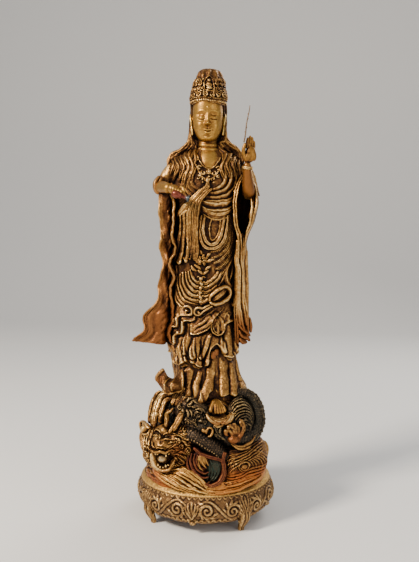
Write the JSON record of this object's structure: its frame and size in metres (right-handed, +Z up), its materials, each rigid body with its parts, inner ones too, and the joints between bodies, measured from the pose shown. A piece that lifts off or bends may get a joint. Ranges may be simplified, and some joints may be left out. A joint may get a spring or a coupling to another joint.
{
  "type": "guanyin statue",
  "caption": "Tall robed guanyin figure with headdress, vase and raised hand with a thin twig, standing on a dragon in waves over a round footed stand.",
  "frame": {"origin": "centre of the stand on the table, at the height of the feet's flat undersides", "axes": "+Z up along the stand's axis to the top of the headdress; -Y is the stand's front, between two feet, and the figure faces 10.6 degrees from it towards +X; +X to the viewer's right"},
  "size_m": [0.1325, 0.1348, 0.4204],
  "materials": {
    "statue_brass": "antique cast brass, near-black wash in the recesses and rubbed bright on the raised parts",
    "stand_brass": "antique cast brass, brown wash in the relief, sandy ground on the rim",
    "twig_wire": "thin wire, dark brown"
  },
  "bodies": {
    "root": {"statue": "statue_brass", "stand": "stand_brass", "willow_twig": "twig_wire"}
  },
  "joints": []
}
